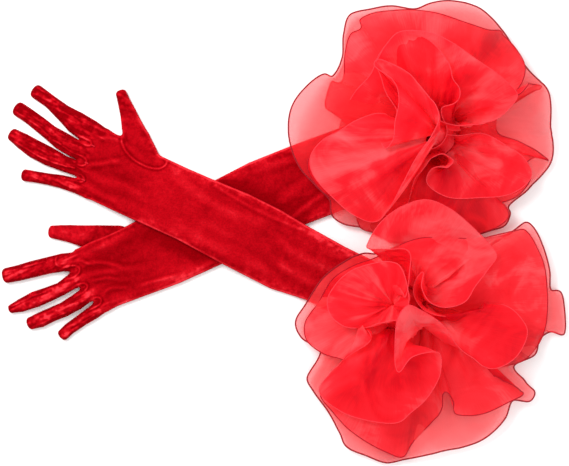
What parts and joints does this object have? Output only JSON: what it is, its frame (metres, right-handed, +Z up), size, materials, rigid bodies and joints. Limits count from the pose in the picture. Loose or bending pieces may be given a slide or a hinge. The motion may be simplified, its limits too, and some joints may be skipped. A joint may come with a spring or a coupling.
{
  "type": "opera gloves",
  "caption": "Pair of long stretch-velvet opera gloves with gathered organza ruffles at the mouths, laid crossed on a flat surface, with flexing finger stalls.",
  "frame": {"origin": "centre of the whole pair's bounding box, on the surface that the gloves lie on", "axes": "+Z up off the surface, +X from the fingertips towards the ruffles, +Y from the left glove's hand towards the right glove's hand"},
  "size_m": [0.5832, 0.4784, 0.0813],
  "materials": {
    "velvet": "deep red stretch velvet with a short soft pile",
    "organza": "sheer crisp red organza with rolled edges",
    "thread": "red polyester sewing thread",
    "elastic": "red covered elastic",
    "tape": "red woven gathering tape"
  },
  "bodies": {
    "left_index": {"left_index_outer_side_fourchette": "velvet", "left_index_palm_strip": "velvet", "left_index_back_strip": "velvet"},
    "left_middle": {"left_middle_thumb_side_fourchette": "velvet", "left_middle_outer_side_fourchette": "velvet", "left_middle_palm_strip": "velvet", "left_middle_back_strip": "velvet"},
    "left_ring": {"left_ring_thumb_side_fourchette": "velvet", "left_ring_outer_side_fourchette": "velvet", "left_ring_palm_strip": "velvet", "left_ring_back_strip": "velvet"},
    "left_little": {"left_little_thumb_side_fourchette": "velvet", "left_little_palm_strip": "velvet", "left_little_back_strip": "velvet"},
    "left_thumb": {"left_thumb_palm_strip": "velvet", "left_thumb_back_strip": "velvet"},
    "left_hand": {"left_palm_panel": "velvet", "left_back_panel": "velvet", "left_thumb_gusset": "velvet", "left_crotch_tacks": "thread", "left_hem_band": "velvet", "left_mouth_elastic": "elastic", "left_gathering_tape": "tape", "left_gathering_stitches": "thread", "left_lower_ruffle": "organza", "left_upper_ruffle": "organza"},
    "right_index": {"right_index_outer_side_fourchette": "velvet", "right_index_back_strip": "velvet", "right_index_palm_strip": "velvet"},
    "right_middle": {"right_middle_thumb_side_fourchette": "velvet", "right_middle_outer_side_fourchette": "velvet", "right_middle_back_strip": "velvet", "right_middle_palm_strip": "velvet"},
    "right_ring": {"right_ring_thumb_side_fourchette": "velvet", "right_ring_outer_side_fourchette": "velvet", "right_ring_back_strip": "velvet", "right_ring_palm_strip": "velvet"},
    "right_little": {"right_little_thumb_side_fourchette": "velvet", "right_little_back_strip": "velvet", "right_little_palm_strip": "velvet"},
    "right_thumb": {"right_thumb_back_strip": "velvet", "right_thumb_palm_strip": "velvet"},
    "right_hand": {"right_back_panel": "velvet", "right_palm_panel": "velvet", "right_thumb_gusset": "velvet", "right_crotch_tacks": "thread", "right_hem_band": "velvet", "right_mouth_elastic": "elastic", "right_gathering_tape": "tape", "right_gathering_stitches": "thread", "right_lower_ruffle": "organza", "right_upper_ruffle": "organza"}
  },
  "joints": [
    {"name": "right_glove_lift", "type": "slide", "parent": "left_hand", "child": "right_hand", "axis": [0, 0, 1], "range_m": [0, 0.15]},
    {"name": "left_index_flex", "type": "hinge", "parent": "left_hand", "child": "left_index", "pos_m": [-0.21608, -0.02996, 0.008], "axis": [-0.2051, 0.9787, 0], "range_deg": [0, 80]},
    {"name": "left_middle_flex", "type": "hinge", "parent": "left_hand", "child": "left_middle", "pos_m": [-0.2113, -0.0489, 0.008], "axis": [-0.3941, 0.919, 0], "range_deg": [0, 80]},
    {"name": "left_ring_flex", "type": "hinge", "parent": "left_hand", "child": "left_ring", "pos_m": [-0.20105, -0.06486, 0.008], "axis": [-0.4434, 0.8963, 0], "range_deg": [0, 80]},
    {"name": "left_little_flex", "type": "hinge", "parent": "left_hand", "child": "left_little", "pos_m": [-0.18848, -0.07886, 0.008], "axis": [-0.64, 0.7684, 0], "range_deg": [0, 80]},
    {"name": "left_thumb_spread", "type": "hinge", "parent": "left_hand", "child": "left_thumb", "pos_m": [-0.20316, 0.00774, 0.004], "axis": [0, 0, -1], "range_deg": [0, 25]},
    {"name": "right_index_flex", "type": "hinge", "parent": "right_hand", "child": "right_index", "pos_m": [-0.19753, 0.10457, 0.008], "axis": [0.5884, 0.8085, 0], "range_deg": [0, 80]},
    {"name": "right_middle_flex", "type": "hinge", "parent": "right_hand", "child": "right_middle", "pos_m": [-0.20748, 0.08693, 0.008], "axis": [0.5167, 0.8561, 0], "range_deg": [0, 80]},
    {"name": "right_ring_flex", "type": "hinge", "parent": "right_hand", "child": "right_ring", "pos_m": [-0.21176, 0.06728, 0.008], "axis": [0.417, 0.9089, 0], "range_deg": [0, 80]},
    {"name": "right_little_flex", "type": "hinge", "parent": "right_hand", "child": "right_little", "pos_m": [-0.21408, 0.04825, 0.008], "axis": [0.1549, 0.9879, 0], "range_deg": [0, 80]},
    {"name": "right_thumb_flex", "type": "hinge", "parent": "right_hand", "child": "right_thumb", "pos_m": [-0.15433, 0.10712, 0.008], "axis": [0.9602, 0.2794, 0], "range_deg": [0, 70]}
  ]
}
